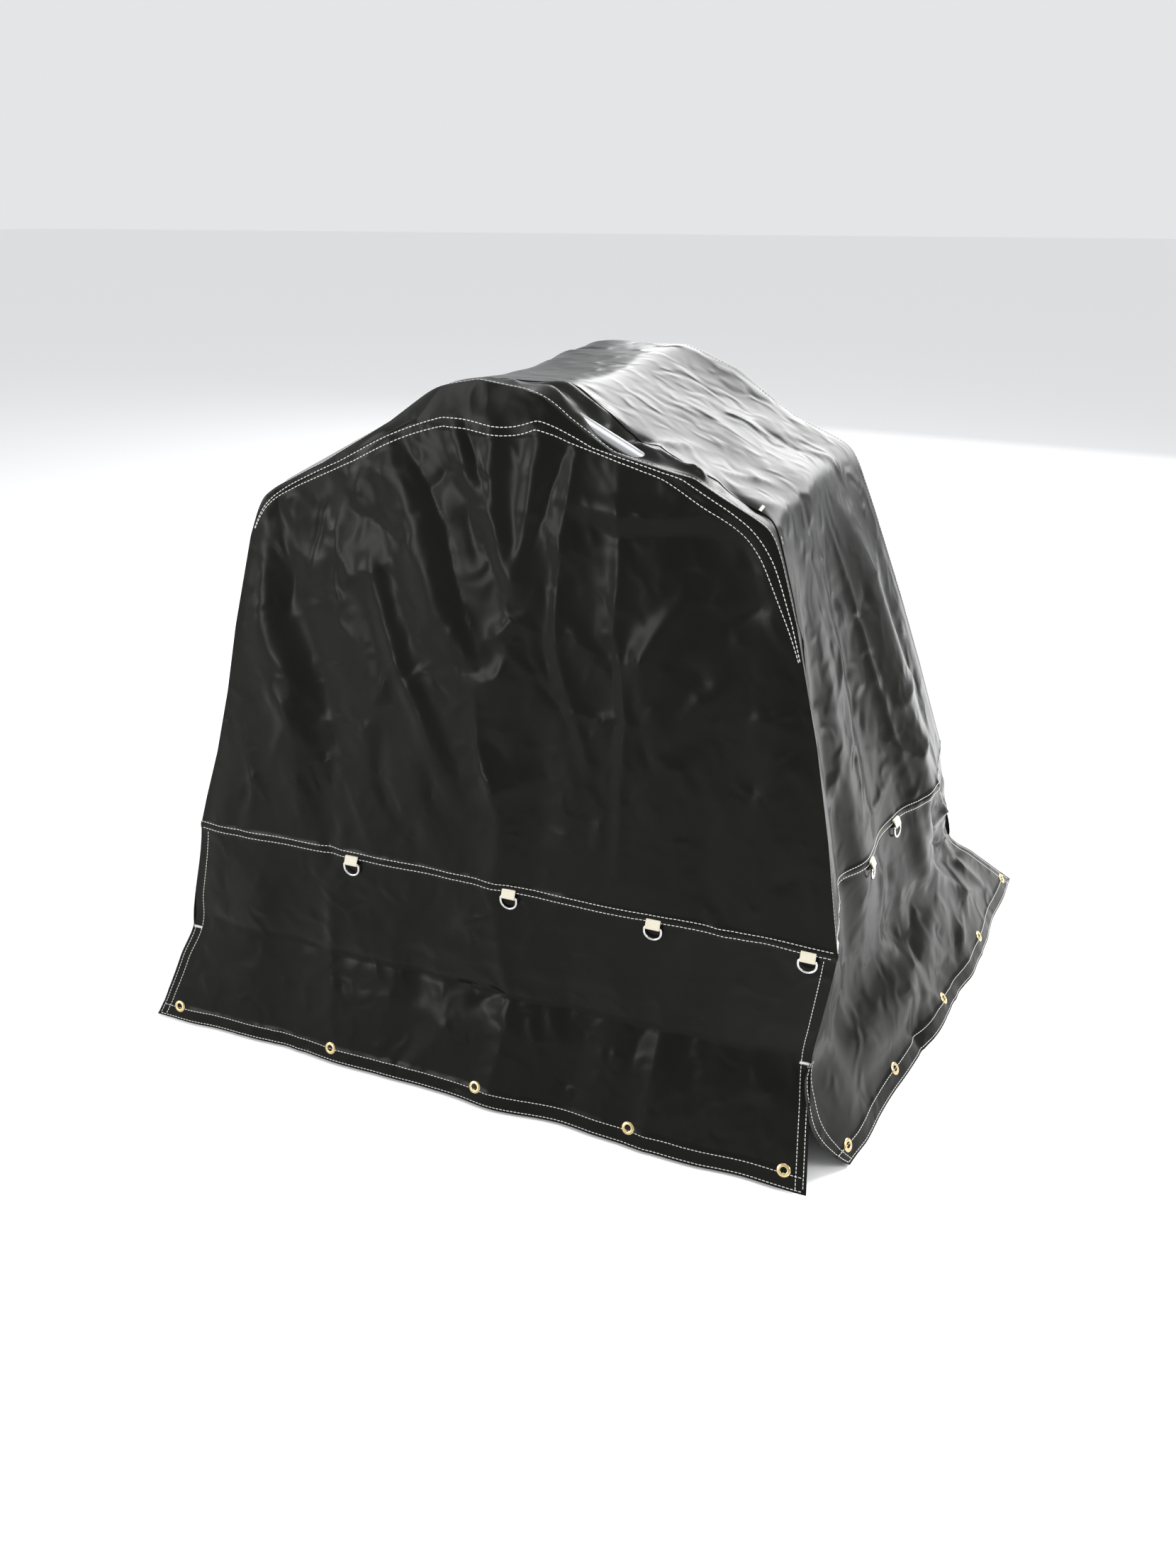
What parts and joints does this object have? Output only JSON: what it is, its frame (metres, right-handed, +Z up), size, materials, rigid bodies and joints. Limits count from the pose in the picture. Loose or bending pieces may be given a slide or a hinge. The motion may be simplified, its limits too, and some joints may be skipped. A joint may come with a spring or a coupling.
{
  "type": "tow behind spreader",
  "caption": "Towed broadcast spreader with ground-driven impeller, standing under its fitted black coated-cloth cover with stitched roof, ringed seam and grommeted flared skirt.",
  "frame": {"origin": "on the ground under the middle of the whole object", "axes": "+Z up, +Y towards the towing vehicle, +X to the drive wheel's side"},
  "size_m": [1.676, 1.638, 1.19],
  "materials": {
    "cover_vinyl": "gloss black coated cloth",
    "tab_webbing": "woven",
    "white_thread": "polyester thread",
    "grommet_brass": "rolled, slightly dull",
    "ring_zinc": "zinc plated",
    "frame_paint": "satin powder coat",
    "cast_housing": "as cast",
    "bright_steel": "turned",
    "rim_paint": "grey enamel",
    "tyre_rubber": "matte",
    "hopper_plastic": "moulded polyethylene",
    "grip_rubber": "soft moulded",
    "bow_tube": "mill"
  },
  "bodies": {
    "frame": {"frame_rails": "frame_paint", "cross_members": "frame_paint", "tongue": "frame_paint", "tongue_braces": "frame_paint", "hitch_clevis": "frame_paint", "stand_bracket": "frame_paint", "bearing_block_left": "cast_housing", "bearing_block_right": "cast_housing", "gearbox_lower": "cast_housing", "gearbox_cover": "cast_housing", "hopper_posts": "frame_paint", "cradle_ring": "frame_paint", "hopper": "hopper_plastic", "deflector": "hopper_plastic", "lever_bracket": "frame_paint", "cover_bow_front": "bow_tube", "cover_bow_rear": "bow_tube", "spreader_bars": "bow_tube"},
    "cover": {"cover_front_panel": "cover_vinyl", "cover_rear_panel": "cover_vinyl", "cover_main_band": "cover_vinyl", "cover_front_gusset": "cover_vinyl", "skirt_front": "cover_vinyl", "skirt_rear": "cover_vinyl", "skirt_left": "cover_vinyl", "skirt_right": "cover_vinyl", "ring_tabs": "tab_webbing", "hem_grommets": "grommet_brass", "slit_bar_tacks": "white_thread"},
    "drive_axle": {"axle": "bright_steel", "axle_collars": "bright_steel", "drive_wheel_rim": "rim_paint", "drive_wheel_tyre": "tyre_rubber", "bevel_gear": "bright_steel"},
    "free_wheel": {"free_wheel_rim": "rim_paint", "free_wheel_tyre": "tyre_rubber"},
    "impeller": {"impeller_shaft": "bright_steel", "impeller_disc": "hopper_plastic", "bevel_pinion": "bright_steel", "agitator_pin": "bright_steel"},
    "gate": {"gate_plate": "bright_steel", "gate_rod": "bright_steel"},
    "lever": {"flow_lever": "frame_paint", "lever_grip": "grip_rubber"},
    "stand": {"stand_leg": "frame_paint"},
    "ring_front_1": {"ring_front_1": "ring_zinc"},
    "ring_front_2": {"ring_front_2": "ring_zinc"},
    "ring_front_3": {"ring_front_3": "ring_zinc"},
    "ring_front_4": {"ring_front_4": "ring_zinc"},
    "ring_right_1": {"ring_right_1": "ring_zinc"},
    "ring_right_2": {"ring_right_2": "ring_zinc"},
    "ring_right_3": {"ring_right_3": "ring_zinc"},
    "ring_rear_1": {"ring_rear_1": "ring_zinc"},
    "ring_rear_2": {"ring_rear_2": "ring_zinc"},
    "ring_rear_3": {"ring_rear_3": "ring_zinc"},
    "ring_rear_4": {"ring_rear_4": "ring_zinc"},
    "ring_left_1": {"ring_left_1": "ring_zinc"},
    "ring_left_2": {"ring_left_2": "ring_zinc"},
    "ring_left_3": {"ring_left_3": "ring_zinc"}
  },
  "joints": [
    {"name": "cover_lift", "type": "slide", "parent": "frame", "child": "cover", "axis": [0, 0, 1], "range_m": [0, 1.25]},
    {"name": "drive_spin", "type": "hinge", "parent": "frame", "child": "drive_axle", "pos_m": [0, -0.341, 0.205], "axis": [1, 0, 0], "continuous": true},
    {"name": "free_spin", "type": "hinge", "parent": "frame", "child": "free_wheel", "pos_m": [-0.425, -0.341, 0.205], "axis": [1, 0, 0], "continuous": true},
    {"name": "impeller_spin", "type": "hinge", "parent": "frame", "child": "impeller", "pos_m": [0, -0.341, 0.375], "axis": [0, 0, 1], "continuous": true},
    {"name": "lever_swing", "type": "hinge", "parent": "frame", "child": "lever", "pos_m": [0.055, -0.011, 0.32], "axis": [1, 0, 0], "range_deg": [0, 25]},
    {"name": "gate_slide", "type": "slide", "parent": "frame", "child": "gate", "axis": [0, -1, 0], "range_m": [0, 0.046]},
    {"name": "stand_fold", "type": "hinge", "parent": "frame", "child": "stand", "pos_m": [0, 0.439, 0.212], "axis": [1, 0, 0], "range_deg": [0, 90]},
    {"name": "ring_front_1_swing", "type": "hinge", "parent": "cover", "child": "ring_front_1", "pos_m": [-0.25424, -0.76133, 0.41112], "axis": [-1, 0, 0], "range_deg": [0, 150]},
    {"name": "ring_front_2_swing", "type": "hinge", "parent": "cover", "child": "ring_front_2", "pos_m": [0.04191, -0.76087, 0.41095], "axis": [-1, 0, 0], "range_deg": [0, 150]},
    {"name": "ring_front_3_swing", "type": "hinge", "parent": "cover", "child": "ring_front_3", "pos_m": [0.29003, -0.76048, 0.41081], "axis": [-1, 0, 0], "range_deg": [0, 150]},
    {"name": "ring_front_4_swing", "type": "hinge", "parent": "cover", "child": "ring_front_4", "pos_m": [0.53416, -0.76009, 0.41068], "axis": [-1, 0, 0], "range_deg": [0, 150]},
    {"name": "ring_right_1_swing", "type": "hinge", "parent": "cover", "child": "ring_right_1", "pos_m": [0.56783, -0.70976, 0.41095], "axis": [0.1084, -0.9941, 0], "range_deg": [0, 150]},
    {"name": "ring_right_2_swing", "type": "hinge", "parent": "cover", "child": "ring_right_2", "pos_m": [0.58548, -0.44905, 0.41148], "axis": [-0.0095, -1, 0], "range_deg": [0, 150]},
    {"name": "ring_right_3_swing", "type": "hinge", "parent": "cover", "child": "ring_right_3", "pos_m": [0.60419, -0.28709, 0.41183], "axis": [-0.2205, -0.9754, 0], "range_deg": [0, 150]},
    {"name": "ring_rear_1_swing", "type": "hinge", "parent": "cover", "child": "ring_rear_1", "pos_m": [-0.48239, 0.08525, 0.41145], "axis": [1, 0, 0], "range_deg": [0, 150]},
    {"name": "ring_rear_2_swing", "type": "hinge", "parent": "cover", "child": "ring_rear_2", "pos_m": [-0.20099, 0.08525, 0.41145], "axis": [1, 0, 0], "range_deg": [0, 150]},
    {"name": "ring_rear_3_swing", "type": "hinge", "parent": "cover", "child": "ring_rear_3", "pos_m": [0.20099, 0.08525, 0.41145], "axis": [1, 0, 0], "range_deg": [0, 150]},
    {"name": "ring_rear_4_swing", "type": "hinge", "parent": "cover", "child": "ring_rear_4", "pos_m": [0.48239, 0.08525, 0.41145], "axis": [1, 0, 0], "range_deg": [0, 150]},
    {"name": "ring_left_1_swing", "type": "hinge", "parent": "cover", "child": "ring_left_1", "pos_m": [-0.56913, -0.71082, 0.41137], "axis": [0.1084, 0.9941, 0], "range_deg": [0, 150]},
    {"name": "ring_left_2_swing", "type": "hinge", "parent": "cover", "child": "ring_left_2", "pos_m": [-0.58548, -0.44905, 0.41148], "axis": [-0.0095, 1, 0], "range_deg": [0, 150]},
    {"name": "ring_left_3_swing", "type": "hinge", "parent": "cover", "child": "ring_left_3", "pos_m": [-0.60419, -0.28709, 0.41183], "axis": [-0.2205, 0.9754, 0], "range_deg": [0, 150]}
  ],
  "couplings": [
    {"joint": "impeller_spin", "follows": "drive_spin", "ratio": -2.5},
    {"joint": "gate_slide", "follows": "lever_swing", "m_per_rad": 0.105}
  ]
}
